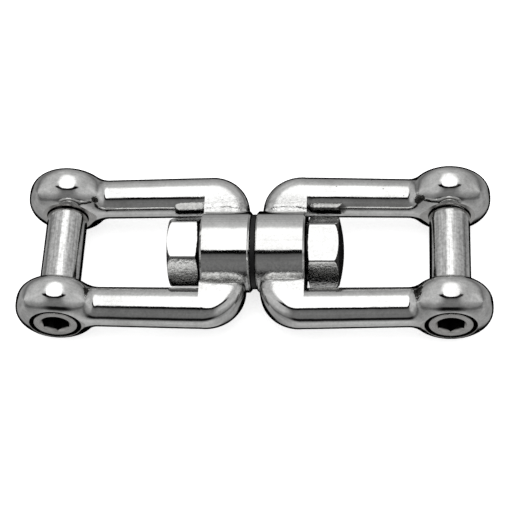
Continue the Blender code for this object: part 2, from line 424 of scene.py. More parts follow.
def polishedStainless():
    # Forged stainless steel, belted and then buffed to a mirror: reflections are sharp but a little wavy,
    # with fine grain, a few pits that the buffing left and a coarser skin beside the hub
    look = steelLook
    material, shader, spot = newSurface("mirrorPolishedStainless")
    tree = material.node_tree
    random = addNode(tree, "ObjectInfo").outputs["Random"]
    shift = addNode(tree, "VectorMath", {"operation": "SCALE", 0: (0.3, 0.2, 0.5)}, {"Scale": random})
    moved = addNode(tree, "VectorMath", {"operation": "ADD"}, {0: spot, 1: shift})
    kinds = [("buffWave", 1, 0.5), ("grain", 2, 0.5), ("clouds", 4, 0.5), ("coarseGrain", 3, 0.65)]
    waves, grain, clouds, coarse = [
        addNode(
            tree,
            "TexNoise",
            {"Scale": perMetre(look[size]), "Detail": detail, "Roughness": harshness},
            {"Vector": moved},
        )
        for size, detail, harshness in kinds
    ]

    # Where the wheel can't reach: a squashed ball about the middle of the web
    parts = addNode(tree, "SeparateXYZ", None, {0: spot}).outputs
    fromMiddle = {"operation": "SUBTRACT", 1: (look["coarseMiddle"] * mm, 0, 0)}
    away = addNode(tree, "VectorMath", fromMiddle, {0: spot})
    away = addNode(tree, "VectorMath", {**times, 1: (0.7, 1, 1)}, {0: away})
    away = addNode(tree, "VectorMath", lengthOf, {0: away}).outputs["Value"]
    inside, outside = look["coarseReach"]
    around = addNode(tree, "MapRange", ramped(outside * mm, inside * mm), {"Value": away})
    level = addNode(tree, "Math", sizeOnly, {0: parts["Z"]})
    middle, end = look["coarseLevel"]
    between = addNode(tree, "MapRange", ramped(end * mm, middle * mm), {"Value": level})
    unreached = addNode(tree, "Math", times, {0: around, 1: between})
    skin = addNode(tree, "Math", times, {0: coarse, 1: unreached})

    # Pits, in a third of the cells
    cells = addNode(tree, "TexVoronoi", {"Scale": perMetre(look["pitSpacing"])}, {"Vector": moved})
    chance = addNode(tree, "SeparateColor", None, {0: cells.outputs["Color"]})
    few = addNode(tree, "Math", {"operation": "LESS_THAN", 1: look["pitShare"]}, {0: chance})
    edge = look["pitRadius"] / look["pitSpacing"]
    pit = addNode(tree, "MapRange", ramped(edge, edge * 0.4), {"Value": cells.outputs["Distance"]})
    pit = addNode(tree, "Math", times, {0: pit, 1: few})

    tarnished = addNode(tree, "MapRange", ramped(*look["cloudTarnish"], eased=False), {"Value": clouds})
    tint = addNode(tree, "Mix", blended(look["colour"], look["tarnish"]), {0: tarnished})
    speckle = addNode(tree, "MapRange", ramped(*look["speckle"], eased=False), {"Value": coarse})
    share = addNode(tree, "MapRange", ramped(0, 1, *look["speckleShare"], eased=False), {"Value": unreached})
    speckled = {"data_type": "RGBA", "blend_type": "MULTIPLY"}
    mottled = addNode(tree, "Mix", speckled, {0: share, 6: tint.outputs[2], 7: speckle})
    pitted = {"data_type": "RGBA", 7: linear(look["pitColour"])}
    colour = addNode(tree, "Mix", pitted, {0: pit, 6: mottled.outputs[2]})

    # Painted shade: a dark band painted in the gap between a hub's end and its hexagon
    at, half = look["paintedGapShadeAt"]
    ends = addNode(tree, "Math", {"operation": "COMPARE", 1: at * mm, 2: half * mm}, {0: parts["X"]})
    flat = addNode(tree, "VectorMath", {**times, 1: (0, 1, 1)}, {0: spot})
    aboutAxis = addNode(tree, "VectorMath", lengthOf, {0: flat}).outputs["Value"]
    full, none = look["paintedGapShadeReach"]
    near = addNode(tree, "MapRange", ramped(none * mm, full * mm, eased=False), {"Value": aboutAxis})
    paintedGapShade = addNode(tree, "Math", times, {0: ends, 1: near})
    paintedGapShadeMix = {"data_type": "RGBA", 7: linear(look["paintedGapShade"])}
    colour = addNode(tree, "Mix", paintedGapShadeMix, {0: paintedGapShade, 6: colour.outputs[2]})

    relief = [
        (waves, look["buffHeight"]),
        (grain, look["grainHeight"]),
        (skin, look["coarseHeight"]),
        (pit, -look["pitDepth"]),
    ]
    return finishSurface(material, shader, colour.outputs[2], (clouds, *look["roughness"]), relief)


drawnLook = {
    "colour": "#E4E4E3",
    "dull": "#838281",
    "streakWidth": 0.30,
    "streakLength": 7.0,
    "streakHeight": 0.007,
    "mottle": 0.6,
    "mottleHeight": 0.004,
    "wiped": (0.34, 0.6, 0.55, 1),
    "drawn": (0.3, 0.52, 0.4, 1),
    "roughness": (0.04, 0.11),
}


def drawnStainless(name):
    # Drawn stainless bar, wiped with fine paper: satin, streaked along its length and slightly mottled
    look = drawnLook
    material, shader, spot = newSurface(name)
    tree = material.node_tree
    fine, long = perMetre(look["streakWidth"]), perMetre(look["streakLength"])
    stretched = addNode(tree, "VectorMath", {**times, 1: (fine, long, fine)}, {0: spot})
    streaks = addNode(tree, "TexNoise", {"Scale": 1, "Detail": 3, "Roughness": 0.6}, {"Vector": stretched})
    mottle = addNode(tree, "TexNoise", {"Scale": perMetre(look["mottle"]), "Detail": 3}, {"Vector": spot})
    wiped = addNode(tree, "MapRange", ramped(*look["wiped"], eased=False), {"Value": mottle})
    drawn = addNode(tree, "MapRange", ramped(*look["drawn"], eased=False), {"Value": streaks})
    bright = addNode(tree, "Math", times, {0: wiped, 1: drawn})
    tint = addNode(tree, "Mix", blended(look["dull"], look["colour"]), {0: bright})
    relief = [(streaks, look["streakHeight"]), (mottle, look["mottleHeight"])]
    return finishSurface(material, shader, tint.outputs[2], (mottle, *look["roughness"]), relief)


cutLook = {
    "colour": "#CFCECC",
    "dull": "#9B9A98",
    # Painted shade: this dark colour stands for the shade deep inside a recess
    "paintedRecessShade": "#151414",
    "roughness": (0.22, 0.36),
    "feed": 0.16,  # mm between the tool's rings, drawn coarser than the real 0.05 so that they show
    "ringHeight": 0.0015,
    "smudge": 1.2,
}
darkCutLook = {**cutLook, "colour": "#5C5B59", "dull": "#2C2B2A"}  # stained by cutting oil and never polished


def turnedStainless(name, axis, reach=0.0, recess=None, look=cutLook):
    # Stainless steel as the lathe left it: satin, with fine rings about the tool's axis. Inside the recess its
    # colour is painted dark, as painted shade of the recess. A recess is three distances along the axis: where
    # it ends, where it is full and where it fades.
    material, shader, spot = newSurface(name)
    tree = material.node_tree
    keep = (0, 1, 1) if axis == "X" else (1, 0, 1)
    centred = addNode(tree, "VectorMath", {"operation": "SUBTRACT", 1: (reach * mm, 0, 0)}, {0: spot})
    flat = addNode(tree, "VectorMath", {**times, 1: keep}, {0: centred})
    radius = addNode(tree, "VectorMath", lengthOf, {0: flat}).outputs["Value"]
    steps = addNode(tree, "Math", {**times, 1: perMetre(look["feed"])}, {0: radius})
    rings = addNode(tree, "TexNoise", {"noise_dimensions": "1D", "Scale": 1, "Detail": 2}, {"W": steps})
    smudge = addNode(tree, "TexNoise", {"Scale": perMetre(look["smudge"]), "Detail": 4}, {"Vector": spot})
    colour = addNode(tree, "Mix", blended(look["dull"], look["colour"]), {0: smudge})
    # Painted shade: the colour is painted dark deep inside the recess, where shade falls
    if recess:
        end, full, none = [distance * mm for distance in recess]
        depth = addNode(tree, "SeparateXYZ", None, {0: spot}).outputs[axis]
        depth = addNode(tree, "Math", sizeOnly, {0: depth})
        inside = addNode(tree, "MapRange", ramped(none, full), {"Value": depth})
        beyond = addNode(tree, "Math", {"operation": "GREATER_THAN", 1: end}, {0: depth})
        inside = addNode(tree, "Math", times, {0: inside, 1: beyond})
        paintedRecessMix = {"data_type": "RGBA", 7: linear(look["paintedRecessShade"])}
        colour = addNode(tree, "Mix", paintedRecessMix, {0: inside, 6: colour.outputs[2]})
    relief = [(rings, look["ringHeight"])]
    return finishSurface(material, shader, colour.outputs[2], (rings, *look["roughness"]), relief)


socketLook = {
    "mouth": "#D6D4D1",
    # Painted shade: the socket's colour goes from its mouth colour to this dark bottom colour as it gets
    # deeper
    "bottom": "#2A2928",
    "darkFrom": (0.25, 0.6),  # depth below the head's face
    "roughness": (0.25, 0.5),
    "smear": 0.9,
    "markWidth": 0.2,
    "markLength": 2.0,
    "markHeight": 0.006,
}


def socketSteel():
    # The broached socket: chatter marks down its walls, dull, and painted shade that darkens its colour from
    # the mouth to the bottom
    look = socketLook
    material, shader, spot = newSurface("broachedSocketSteel")
    tree = material.node_tree
    smear = addNode(tree, "TexNoise", {"Scale": perMetre(look["smear"]), "Detail": 4}, {"Vector": spot})
    depth = addNode(tree, "SeparateXYZ", None, {0: spot}).outputs["Y"]
    mouth, below = [(depthBelow - pinShape["headFace"]) * mm for depthBelow in look["darkFrom"]]
    # Painted shade: darker with depth down the socket
    paintedDepthShade = addNode(tree, "MapRange", ramped(mouth, below), {"Value": depth})
    tint = addNode(tree, "Mix", blended(look["mouth"], look["bottom"]), {0: paintedDepthShade})
    wide, long = perMetre(look["markWidth"]), perMetre(look["markLength"])
    marks = addNode(tree, "VectorMath", {**times, 1: (wide, long, wide)}, {0: spot})
    chatter = addNode(tree, "TexNoise", {"Scale": 1, "Detail": 2}, {"Vector": marks})
    relief = [(chatter, look["markHeight"])]
    return finishSurface(material, shader, tint.outputs[2], (smear, *look["roughness"]), relief)


acetalLook = {
    "colour": "#0B0B0C",
    "worn": "#151516",
    "roughness": (0.34, 0.52),
    "rub": 1.6,
    "feed": 0.18,
    "ringHeight": 0.003,
}


def blackAcetal():
    # Black acetal, turned: a soft sheen with fine rings, rubbed a little greyer in places
    look = acetalLook
    material, shader, spot = newSurface("turnedBlackAcetal", metallic=0.0)
    tree = material.node_tree
    shader.inputs["IOR"].default_value = 1.48
    shader.inputs["Specular IOR Level"].default_value = 0.3
    rub = addNode(tree, "TexNoise", {"Scale": perMetre(look["rub"]), "Detail": 4}, {"Vector": spot})
    flat = addNode(tree, "VectorMath", {**times, 1: (0.35, 1, 1)}, {0: spot})
    radius = addNode(tree, "VectorMath", lengthOf, {0: flat}).outputs["Value"]
    steps = addNode(tree, "Math", {**times, 1: perMetre(look["feed"])}, {0: radius})
    rings = addNode(tree, "TexNoise", {"noise_dimensions": "1D", "Scale": 1, "Detail": 1}, {"W": steps})
    tint = addNode(tree, "Mix", blended(look["colour"], look["worn"]), {0: rub})
    relief = [(rings, look["ringHeight"])]
    return finishSurface(material, shader, tint.outputs[2], (rub, *look["roughness"]), relief)


def place(name, mesh, turn, body, node):
    piece = newObject(name, mesh)
    piece.matrix_world = turn
    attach(piece, body)
    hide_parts(node)


# Every thread has the 1.25 mm pitch of 8 mm screws. The tapped ones are a little wider than the cut ones.
cutThread = {"pitch": 1.25, "root": 3.4, "crest": 3.93, "stepsPerPitch": 8}
tappedThread = {**cutThread, "root": 3.95, "crest": 4.25}

# Jaw.

jawShape = {
    "hubRadius": 8.0,
    "hubOuter": 10.1,
    "hubEdge": 0.35,
    "bendStart": 5.3,
    "bendRadius": 4.2,
    "barRadius": 3.994,
    "barEndRadius": 3.84,
    "barSpread": 12.7,
    "barEnd": 32.6,
    "eyeWidth": 8.2,
    "eyeInner": 8.2,
    "eyeFlatRadius": 5.0,
    "eyeRoundness": 2.6,
    "neckBlend": 1.15,
    "boltBore": 4.2,
    "clearBore": 4.2,
    "sunkBore": 5.0,
    "sunkDepth": 2.85,
    "rim": 0.2,  # width of the broken edge round the sunk bore
    # A groove runs along the foot of the hub: its depth and how far out it reaches, above and below, on the
    # side of the pins' heads and of their tips
    "groove": {(1, -1): (1.3, 8.9), (1, 1): (0.3, 8.6), (-1, -1): (2.2, 9.6), (-1, 1): (0.3, 8.6)},
    "grooveFoot": 7.9,
    "grooveBow": 0.455,  # how much further out it reaches at the web's middle than at its ends
    "grooveMiddle": 6.2,
    "grooveLength": 7.8,
    "groovePower": 1.7,
    "bendSquareness": 0.9,
    "faceSteps": 12,
    "roundSteps": 48,
    "step": 0.02,  # the bars start this much inside the web, so that the two surfaces never coincide
    "voxel": 0.36,
    "sides": 128,
}


def barCentre():
    shape = jawShape
    start = np.array([shape["bendStart"] + shape["bendRadius"], shape["barSpread"], 0.0])
    end = np.array([shape["barEnd"], shape["eyeInner"] + shape["eyeWidth"] / 2, 0.0])
    return start, end


def barDistance(points, step):
    shape = jawShape
    start, end = barCentre()
    along = end - start
    share = np.clip((points - start) @ along / (along @ along), 0, 1)
    nearest = start + share[:, None] * along
    radius = shape["barRadius"] + (shape["barEndRadius"] - shape["barRadius"]) * share
    radius = radius - step * np.clip(1 - (points[:, 0] - start[0]) / 3, 0, 1)
    return np.linalg.norm(points - nearest, axis=1) - radius


def eyeFullWidth():
    shape = jawShape
    power = shape["eyeRoundness"]
    return shape["eyeWidth"] / 2 / (1 - (shape["eyeFlatRadius"] / eyeRadius) ** power) ** (1 / power)


def eyeDistance(points):
    shape = jawShape
    power = shape["eyeRoundness"]
    width = eyeFullWidth()
    radial = np.hypot(points[:, 0] - pinReach, points[:, 2])
    across = abs(points[:, 1] - shape["eyeInner"] - shape["eyeWidth"] / 2)
    size = np.maximum((radial / eyeRadius) ** power + (across / width) ** power, 1e-9)
    slope = size ** (1 / power - 1)
    bySide = slope * (radial / eyeRadius) ** (power - 1) / eyeRadius
    byWidth = slope * (across / width) ** (power - 1) / width
    return (size ** (1 / power) - 1) / np.maximum(np.hypot(bySide, byWidth), 1e-3)


def armField(points, step=0.0):
    mirrored = points.copy()
    mirrored[:, 1] = abs(mirrored[:, 1])
    return softSmaller(barDistance(mirrored, step), eyeDistance(mirrored), jawShape["neckBlend"])


def armBlank():
    # Bar and eye as plain overlapping solids, made one skin, which is then brought onto the blended formula
    shape = jawShape
    start, end = barCentre()
    sides = 40
    shells = []
    for side in (-1, 1):
        rows = []
        for middle, radius, turned in (
            (start[0], shape["barRadius"], np.linspace(-math.pi / 2, 0, 8)),
            (end[0], shape["barEndRadius"], np.linspace(0, math.pi / 2, 8)),
        ):
            rows += [(radius * math.cos(angle), middle + radius * math.sin(angle)) for angle in turned]
        bar = turnedRows(rows, evenTurn(sides))
        for row in bar:
            share = (row[:, 0] - start[0]) / (end[0] - start[0])
            row[:, 1] = side * (row[:, 1] + start[1] + share * (end[1] - start[1]))
        shells.append(meshFromRows("barBlank", bar))
        power, width = shape["eyeRoundness"], eyeFullWidth()
        rows = []
        for angle in np.linspace(math.pi / 2, -math.pi / 2, 33):
            radius = eyeRadius * max(math.cos(angle), 0) ** (2 / power)
            across = math.copysign(width * abs(math.sin(angle)) ** (2 / power), angle)
            rows.append((radius, side * (shape["eyeInner"] + shape["eyeWidth"] / 2) + across))
        shells.append(meshFromRows("eyeBlank", turnedRows(rows, evenTurn(96), "Y", pinReach)))
    joined = bmesh.new()
    for shell in shells:
        joined.from_mesh(shell)
    return meshOf("armBlank", joined)


def armMesh():
    blank = newObject("armBlank", armBlank())
    skin = blank.modifiers.new("One skin", "REMESH")
    skin.mode = "VOXEL"
    skin.voxel_size = jawShape["voxel"] * mm
    mesh = finished(blank)
    points, edges = readMesh(mesh)

    def field(places):
        return armField(places, jawShape["step"])

    points = evenedOut(field, broughtOnto(field, points), edges)
    writePoints(mesh, points)
    return mesh


def webPath():
    # Middle line of the bend, from one bar to the other through the hub, with the way out at each point
    shape = jawShape
    centreX = shape["bendStart"] + shape["bendRadius"]
    centreY = shape["barSpread"] - shape["bendRadius"]
    half = [(shape["bendStart"], y, -1, 0) for y in np.linspace(0, centreY, 40)[1:-1]]
    for angle in np.linspace(0, math.pi / 2, 33):
        outX, outY = -math.cos(angle), math.sin(angle)
        half.append((centreX + shape["bendRadius"] * outX, centreY + shape["bendRadius"] * outY, outX, outY))
    mirrored = [(x, -y, outX, -outY) for x, y, outX, outY in reversed(half)]
    return [*mirrored, (shape["bendStart"], 0, -1, 0), *half]


def webGrid():
    # The web that joins hub and bars: rounded on the outside of the bend, nearly flat above and below, sinking
    # towards the hub. Rows run from the faced end over the top, round the outside and back along the bottom.
    shape = jawShape
    radius = shape["barRadius"]
    end = shape["hubOuter"] - 0.002
    across = shape["faceSteps"]
    columns = []
    for x, y, outX, outY in webPath():
        turned = math.degrees(math.atan2(abs(outY), -outX))  # round the bend, 0 at the hub and 90 at the bar
        squareness = 2 + shape["bendSquareness"] * min((90 - turned) / 70, 1)
        row = [(spot, y, radius) for spot in np.linspace(end, x, across + 1)[:-1]]
        for angle in np.linspace(math.pi / 2, -math.pi / 2, shape["roundSteps"] + 1):
            out = radius * max(math.cos(angle), 0) ** (2 / squareness)
            rise = math.copysign(radius * abs(math.sin(angle)) ** (2 / squareness), angle)
            row.append((x + out * outX, y + out * outY, rise))
        row += [(spot, y, -radius) for spot in np.linspace(x, end, across + 1)[1:]]
        row = np.array(row, float)
        for side in (1, -1):
            part = row[:, 2] * side > 0
            depth, reach = shape["groove"][side, math.copysign(1, y)]
            along = (row[part, 0] - shape["grooveMiddle"]) / shape["grooveLength"]
            bow = shape["grooveBow"] * (along * 2) ** 2
            near = np.clip((reach - abs(y) - bow) / (reach - shape["grooveFoot"]), 0, 1.1)
            row[part, 2] *= (radius - depth * near ** shape["groovePower"]) / radius
        columns.append(row)
    return np.stack(columns)


def webMesh(grid):
    shape = bmesh.new()
    columns = [[shape.verts.new(point * mm) for point in column] for column in grid]
    inner = jawShape["faceSteps"]
    last = len(columns[0]) - 1
    for first, second in zip(columns, columns[1:]):
        for i in range(last):
            shape.faces.new((first[i], second[i], second[i + 1], first[i + 1]))
        shape.faces.new((first[last], second[last], second[0], first[0]))
    for column in (columns[0], columns[-1]):
        shape.faces.new(column[inner : last - inner + 1])
        for i in range(inner):
            shape.faces.new((column[i], column[i + 1], column[last - i - 1], column[last - i]))
    bmesh.ops.recalc_face_normals(shape, faces=shape.faces)
    return meshOf("web", shape)


def webNormals(grid):
    # Smooth normals from the grid itself, read back at any point on it
    along = np.gradient(grid, axis=0)
    across = np.gradient(grid, axis=1)
    normals = unit(np.cross(along, across).reshape(-1, 3))
    wide = grid.shape[1]
    centre = (grid.shape[0] // 2) * wide + wide // 2
    if normals[centre, 0] > 0:
        normals = -normals
    triangles = []
    for i in range(grid.shape[0] - 1):
        for j in range(wide - 1):
            a, b = i * wide + j, (i + 1) * wide + j
            triangles += [(a, b, b + 1), (a, b + 1, a + 1)]
    points = grid.reshape(-1, 3)
    tree = BVHTree.FromPolygons(points.tolist(), triangles)

    def rule(places, faceNormals):
        found = faceNormals.copy()
        level = abs(faceNormals[:, 0]) > 0.999
        for i in np.nonzero(~level)[0]:
            spot, _, face, _ = tree.find_nearest(places[i].tolist())
            corners = triangles[face]
            found[i] = barycentric_transform(
                spot,
                *[Vector(points[c]) for c in corners],
                *[Vector(normals[c]) for c in corners],
            )
        return unit(found)

    return rule


def hubMesh():
    shape = jawShape
    inner, outer, edge, radius = jawLow[0], shape["hubOuter"], shape["hubEdge"], shape["hubRadius"]
    profile = [
        (0, inner),
        (radius - edge, inner),
        (radius, inner + edge),
        (radius, outer - edge),
        (radius - edge, outer),
        (0, outer),
    ]
    return meshFromRows("hub", turnedRows(profile, evenTurn(shape["sides"])))


def boltBoreMesh():
    shape = jawShape
    bore, edge = shape["boltBore"], 0.25
    profile = [
        (0, jawLow[0] - 1),
        (bore + edge + 1, jawLow[0] - 1),
        (bore, jawLow[0] + edge),
        (bore, shape["hubOuter"] - edge),
        (bore + edge + 1, shape["hubOuter"] + 1),
        (0, shape["hubOuter"] + 1),
    ]
    return meshFromRows("boltBore", turnedRows(profile, evenTurn(shape["sides"])))


def pinBoreMesh():
    # One tool for the flats of both eyes, the sunk and clear bores of the head side and the tapped hole
    shape = jawShape
    turn = evenTurn(shape["sides"])
    inner = shape["eyeInner"]
    outer = inner + shape["eyeWidth"]
    flat, past, edge, rim = 6.4, 1.6, 0.25, shape["rim"]
    clear, sunk, tapped = shape["clearBore"], shape["sunkBore"], tappedThread["root"]
    wide = eyeRadius + 1.5
    far = [
        (0, outer + past),
        (flat, outer + past),
        (flat, outer),
        (tapped + 0.35, outer),
        (tapped, outer - 0.35),
    ]
    near = [
        (tapped, inner + edge),
        (tapped + edge, inner),
        (wide, inner),
        (wide, -inner),
        (clear + edge, -inner),
        (clear, -inner - edge),
        (clear, -outer + shape["sunkDepth"]),
        (sunk, -outer + shape["sunkDepth"]),
        *rounded([(sunk, -outer + 1), (sunk, -outer, rim), (sunk + 1, -outer)])[1:-1],
        (flat, -outer),
        (flat, -outer - past),
        (0, -outer - past),
    ]
    rows = turnedRows(far, turn, "Y", pinReach)
    rows += threadRows(outer - 0.35, inner + edge, turn, tappedThread, "Y", pinReach)
    rows += turnedRows(near, turn, "Y", pinReach)
    return meshFromRows("pinBore", rows)


def makeJaw(materials):
    grid = webGrid()
    mesh = combined(
        "jaw",
        hubMesh(),
        [
            (webMesh(grid), "UNION"),
            (armMesh(), "UNION"),
            (boltBoreMesh(), "DIFFERENCE"),
            (pinBoreMesh(), "DIFFERENCE"),
        ],
    )
    setNormals(
        mesh,
        {
            0: lambda points, face: turnedNormals(points, face, "X"),
            1: webNormals(grid),
            2: lambda points, face: unit(slopeOf(armField, points)),
            3: lambda points, face: turnedNormals(points, face, "X"),
            4: lambda points, face: turnedNormals(points, face, "Y", pinReach),
        },
    )
    setMaterials(mesh, materials, [0, 0, 0, 1, 2])
    return mesh


# Turned and hexagonal pieces. Each is one sheet of rows from one end of its axis to the other.

boltShape = {
    "acrossFlats": 12.8,
    "corner": -8,  # degrees from +Y to a corner, before the half turn that puts the head on the left
    "sharpness": 110,
    "flat": 6.2,
    "wide": 7.34,
    "chamfer": 0.9,
    "chamferRoundness": 1.7,
    "backChamfer": 0.3,
    "flankMiddle": 13.0,
    "start": 10.25,
    "end": 16.65,
    "collar": 5.8,
    "collarEnd": 10.65,
    "shank": 4.0,
    "threadStart": -10.4,
    "tip": -15.05,
}
nutShape = {**boltShape, "corner": 15, "dome": 0.8, "holeEnd": 15.35}


def hexFlank(shape, turn):
    # Rows of the six flats from the outer end inwards, cut by the turned chamfers at both ends
    corner = hexRadius(shape["acrossFlats"], turn, shape["corner"], shape["sharpness"])
    end, start, chamfer, power = [shape[k] for k in ("end", "collarEnd", "chamfer", "chamferRoundness")]
    flat, wide = shape["flat"], shape["wide"]
    rows = []
    for along in [
        *[end - chamfer * share**1.6 for share in np.linspace(0, 1, 22)],
        end - chamfer - 0.15,
        shape["flankMiddle"],
        *np.linspace(start + 0.4, start, 7),
    ]:
        inset = min(max(1 - (end - along) / chamfer, 0), 1)
        envelope = min(
            flat + (wide - flat) * (1 - inset**power) ** (1 / power),
            flat + (wide - flat) * (along - start) / shape["backChamfer"],
            wide,
        )
        rows.append((0, along, lambda radii, envelope=envelope: softSmaller(corner, envelope + radii, 0.12)))
    return rows


def finishShading(mesh, angle=32):
    mesh.shade_smooth()
    mesh.set_sharp_from_angle(angle=math.radians(angle))
    return mesh


def boltMesh():
    shape = boltShape
    turn = hexTurn(shape["corner"])
    face = shape["end"]
    head = [(radius, face) for radius in (0, 3, 5, shape["flat"] - 0.15)]
    collar = rounded(
        [
            (shape["flat"], shape["collarEnd"]),
            (shape["collar"], shape["collarEnd"]),
            (shape["collar"], shape["start"], 0.1),
            (shape["shank"], shape["start"]),
            (shape["shank"], shape["threadStart"] + 0.4),
            (cutThread["root"], shape["threadStart"]),
        ]
    )[1:]
    tip = [(3.4, shape["tip"] + 0.4), (3.0, shape["tip"]), (0, shape["tip"])]
    rows = turnedRows(head, turn) + turnedRows(hexFlank(shape, turn), turn) + turnedRows(collar, turn)
    rows += threadRows(shape["threadStart"], shape["tip"] + 0.4, turn, cutThread)
    rows += turnedRows(tip, turn)
    return finishShading(meshFromRows("bolt", rows))


def nutMesh():
    shape = nutShape
    turn = hexTurn(shape["corner"])
    dome = [
        (shape["flat"] * share, shape["end"] + shape["dome"] * (1 - share**2))
        for share in np.linspace(0, 0.975, 14)
    ]
    inside = rounded(
        [
            (shape["flat"], shape["collarEnd"]),
            (shape["collar"], shape["collarEnd"]),
            (shape["collar"], shape["start"], 0.1),
            (4.35, shape["start"]),
            (tappedThread["root"], shape["start"] + 0.4),
        ]
    )[1:]
    end = shape["holeEnd"]
    rows = turnedRows(dome, turn) + turnedRows(hexFlank(shape, turn), turn) + turnedRows(inside, turn)
    rows += threadRows(shape["start"] + 0.4, end - 0.3, turn, tappedThread)
    rows += turnedRows([(tappedThread["root"], end), (0, end)], turn)
    return finishShading(meshFromRows("nut", rows))


washerShape = {"inner": 4.2, "outer": 7.35, "half": 0.45, "edge": 0.1}


def washerMesh():
    shape = washerShape
    corners = [
        (shape["inner"], 0),
        (shape["inner"], shape["half"], shape["edge"]),
        (shape["outer"], shape["half"], shape["edge"]),
        (shape["outer"], -shape["half"], shape["edge"]),
        (shape["inner"], -shape["half"], shape["edge"]),
        (shape["inner"], 0),
    ]
    return finishShading(meshFromRows("washer", turnedRows(rounded(corners), evenTurn(144))))


pinShape = {
    "tip": 16.3,
    "shank": 4.0,
    "threadEnd": 8.5,
    "headSeat": 13.7,
    "headFace": 16.3,
    "headRadius": 4.25,
    "headEdge": 0.2,
    "socketFlats": 5.0,
    "socketSharpness": 300,
    "countersink": 3.02,
    "socketDepth": 3.3,
}


def pinMesh():
    # From the threaded tip along the shank to the head, then over its face and down into the hexagon socket
    shape = pinShape
    turn = hexTurn(0)
    socket = hexRadius(shape["socketFlats"], turn, 0, shape["socketSharpness"])
    tip = [(0, shape["tip"]), (2.9, shape["tip"]), (3.4, shape["tip"] - 0.5)]
    body = rounded(
        [
            (cutThread["root"], shape["threadEnd"]),
            (shape["shank"], shape["threadEnd"] - 0.7, 0.15),
            (shape["shank"], -shape["headSeat"]),
            (shape["headRadius"], -shape["headSeat"], 0.1),
            (shape["headRadius"], -shape["headFace"], shape["headEdge"]),
            (shape["countersink"], -shape["headFace"]),
        ]
    )
    well = []
    for depth in [*np.linspace(0.03, 0.56, 14), shape["socketDepth"]]:
        cone = 0.9 * depth - shape["countersink"]
        shaped = lambda radii, cone=cone: -softSmaller(-socket, cone + radii, 0.04)
        well.append((0, depth - shape["headFace"], shaped))
    floor = shape["socketDepth"] - shape["headFace"]
    bottom = [(2.3, floor + 0.05), (0, floor + 0.9)]
    thread = threadRows(shape["tip"] - 0.5, shape["threadEnd"], turn, cutThread, "Y", pinReach)
    pieces = [
        (turnedRows(tip, turn, "Y", pinReach), 0),
        (thread, 0),
        (turnedRows(body[:-6], turn, "Y", pinReach), 0),
        (turnedRows(body[-6:], turn, "Y", pinReach), 1),
        (turnedRows([*well, *bottom], turn, "Y", pinReach), 2),
    ]
    rows, surfaces = [], []
    for part, surface in pieces:
        rows += part
        surfaces += [surface] * len(part)
    return finishShading(meshFromRows("pin", rows, surfaces))


# Camera. Its place is an angle about the object, a distance and a roll.

cameraView = {
    "azimuth": 9.792,
    "elevation": 58.52,
    "roll": -8.43,
    "distance": 0.33619,
    "lens": 121.04,
    "shift": (0.0, -0.006),
}


def makeCamera():
    view = cameraView
    azimuth, elevation, roll = [math.radians(view[k]) for k in ("azimuth", "elevation", "roll")]
    level = math.cos(elevation)
    back = np.array([math.sin(azimuth) * level, -math.cos(azimuth) * level, math.sin(elevation)])
    across = np.cross([0, 0, 1], back)
    across /= np.linalg.norm(across)
    up = np.cross(back, across)
    turned = math.cos(roll) * across + math.sin(roll) * up
    upright = -math.sin(roll) * across + math.cos(roll) * up
    lens = bpy.data.cameras.new("studioCamera")
    lens.lens = view["lens"]
    lens.shift_x, lens.shift_y = view["shift"]
    lens.clip_start = 0.01
    camera = bpy.data.objects.new("studioCamera", lens)
    bpy.context.scene.collection.objects.link(camera)
    placed = np.stack([turned, upright, back, back * view["distance"]], axis=1)
    camera.matrix_world = Matrix([*placed.tolist(), (0, 0, 0, 1)])
    bpy.context.scene.camera = camera


# The room: a pale floor, a broad soft light overhead, and walls that the steel mirrors.

room = {
    "backdrop": "#FEFEFE",
    "floorGlow": 0.72,  # the paper lies on a lit table, so that shadows on it are faint
    "lampPower": 1.6,
    # Brightness round the middle of the room, from straight down past the back, the ceiling and the front.
    # Each stop is degrees from straight up, towards the front, and a brightness.
    "middle": [
        *[(-180, 0.0), (-106, 0.0), (-99, 0.34), (-88, 0.46), (-52, 0.62), (-42, 0.75), (-20, 0.60)],
        *[(26, 0.55), (27.5, 0.0), (34, 0.0), (40, 0.14), (60, 0.24), (84, 0.22), (92, 0.005)],
        *[(103, 0.015), (111, 0.46), (118, 0.60), (162, 0.52), (167, 0.0), (180, 0.0)],
    ],
    "sides": [
        *[(-180, 0.38), (-125, 0.42), (-92, 0.20), (-60, 0.58), (0, 0.72)],
        *[(48, 0.62), (72, 0.40), (96, 0.24), (128, 0.46), (180, 0.38)],
    ],
    "middleReach": (0.16, 0.52),  # sideways: where the middle starts and ends fading into the sides
    "softboxAngle": (-39, 26),
    "softboxReach": 0.35,
    "softbox": 1.7,
    "softboxCreases": 1.2,
    # The oval's formula is 1 on its outline. These are where each edge starts and where it is full.
    "frontEdge": (1.12, 0.88),
    "backEdge": (1.9, 0.5),
    "rimEdge": (2.6, 2.0),
    # In half lengths of the softbox, towards the front: where the back edge and the rim take over
    "backFrom": (0.2, -0.4),
    "rimFrom": (0.15, 0.5),
    "horizon": -0.13,  # the height where the front of the table's edge shows as a dark line
    "horizonEdge": (0.11, 0.06),
    "horizonAhead": (-0.25, -0.45),
    "horizonDark": 0.35,
    "clutter": (0.9, 0.55),  # how much the walls vary with whatever stands about, and their least
    "streaks": 0.30,  # creases in the reflectors, which draw fine lines along round bars
    "dark": (-0.089, 0.515, -0.853),  # an unlit patch of floor behind the object
    "darkAngle": (41, 47),
}


